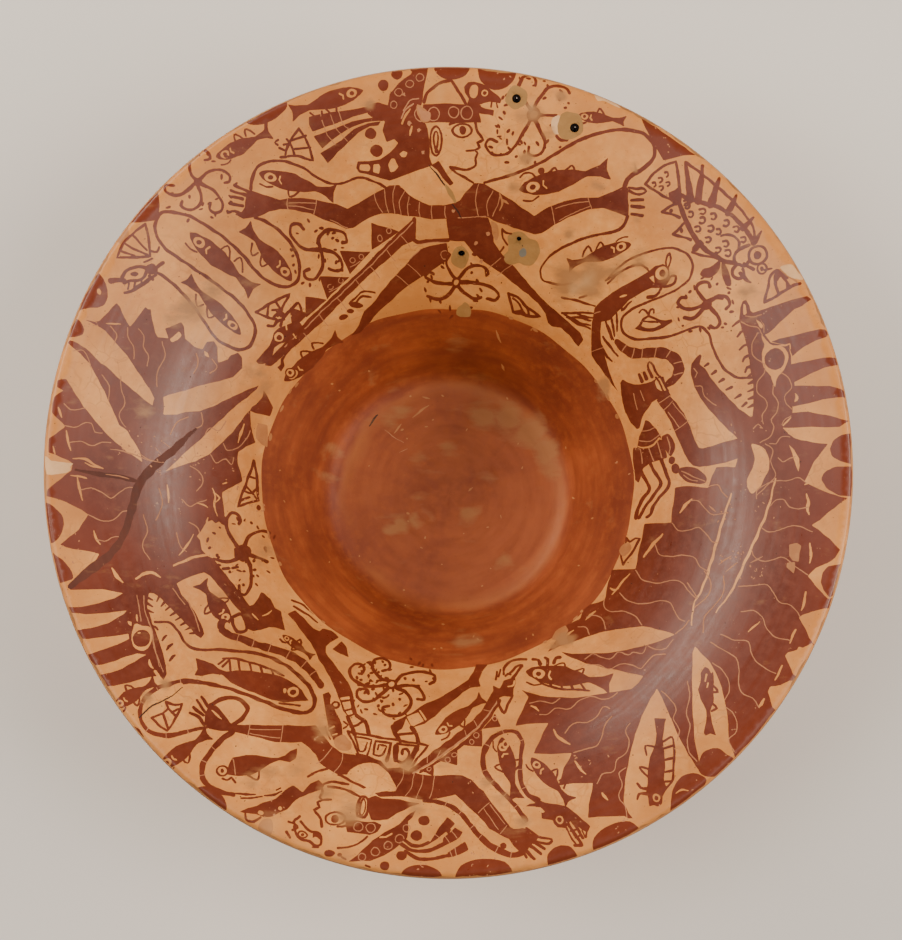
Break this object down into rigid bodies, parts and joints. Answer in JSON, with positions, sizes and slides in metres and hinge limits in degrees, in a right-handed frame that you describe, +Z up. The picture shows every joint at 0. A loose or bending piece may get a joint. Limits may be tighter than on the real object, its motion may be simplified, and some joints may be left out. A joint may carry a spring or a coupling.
{
  "type": "flaring ceramic platter",
  "caption": "Wide flaring ceramic platter: a deep plain red cup opens into a broad rim painted with sea creatures and fishing figures in red-brown slip on cream, with old lacing holes.",
  "frame": {"origin": "centre of the flat underside, on the surface that the platter stands on", "axes": "+Z up, square to the base; +Y towards the rim's pair of lacing holes"},
  "size_m": [0.3998, 0.3998, 0.1339],
  "materials": {
    "slip_painted_earthenware": "burnished slip, satin"
  },
  "bodies": {
    "root": {"platter": "slip_painted_earthenware"}
  },
  "joints": []
}
